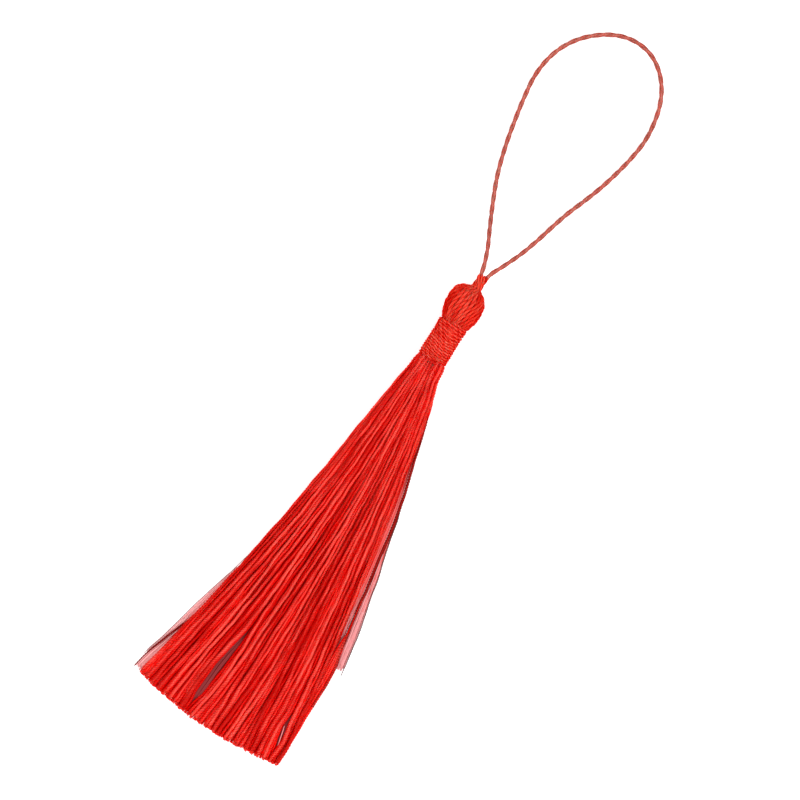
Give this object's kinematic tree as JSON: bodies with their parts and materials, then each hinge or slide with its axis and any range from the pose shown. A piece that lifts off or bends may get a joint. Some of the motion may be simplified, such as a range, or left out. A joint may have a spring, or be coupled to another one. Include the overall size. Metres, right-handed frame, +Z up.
{
  "type": "silk tassel",
  "caption": "Silk tassel lying flat: a fanned skirt of fine twisted threads below a wound neck and a round folded head, with a twisted cord loop to hang it by.",
  "frame": {"origin": "on the surface the tassel lies on, under the middle of the hank (head, neck and skirt without the loop)", "axes": "+Y along the tassel from the cut ends to the head and the loop, +Z up from the surface, +X across the skirt"},
  "size_m": [0.028, 0.1299, 0.0061],
  "materials": {
    "tassel_silk": "lustrous twisted silk thread",
    "binding_silk": "lustrous wound silk thread",
    "loop_cord": "soft sheen twisted cord"
  },
  "bodies": {
    "root": {"tassel_hank": "tassel_silk", "neck_binding": "binding_silk", "hanging_loop": "loop_cord"}
  },
  "joints": []
}
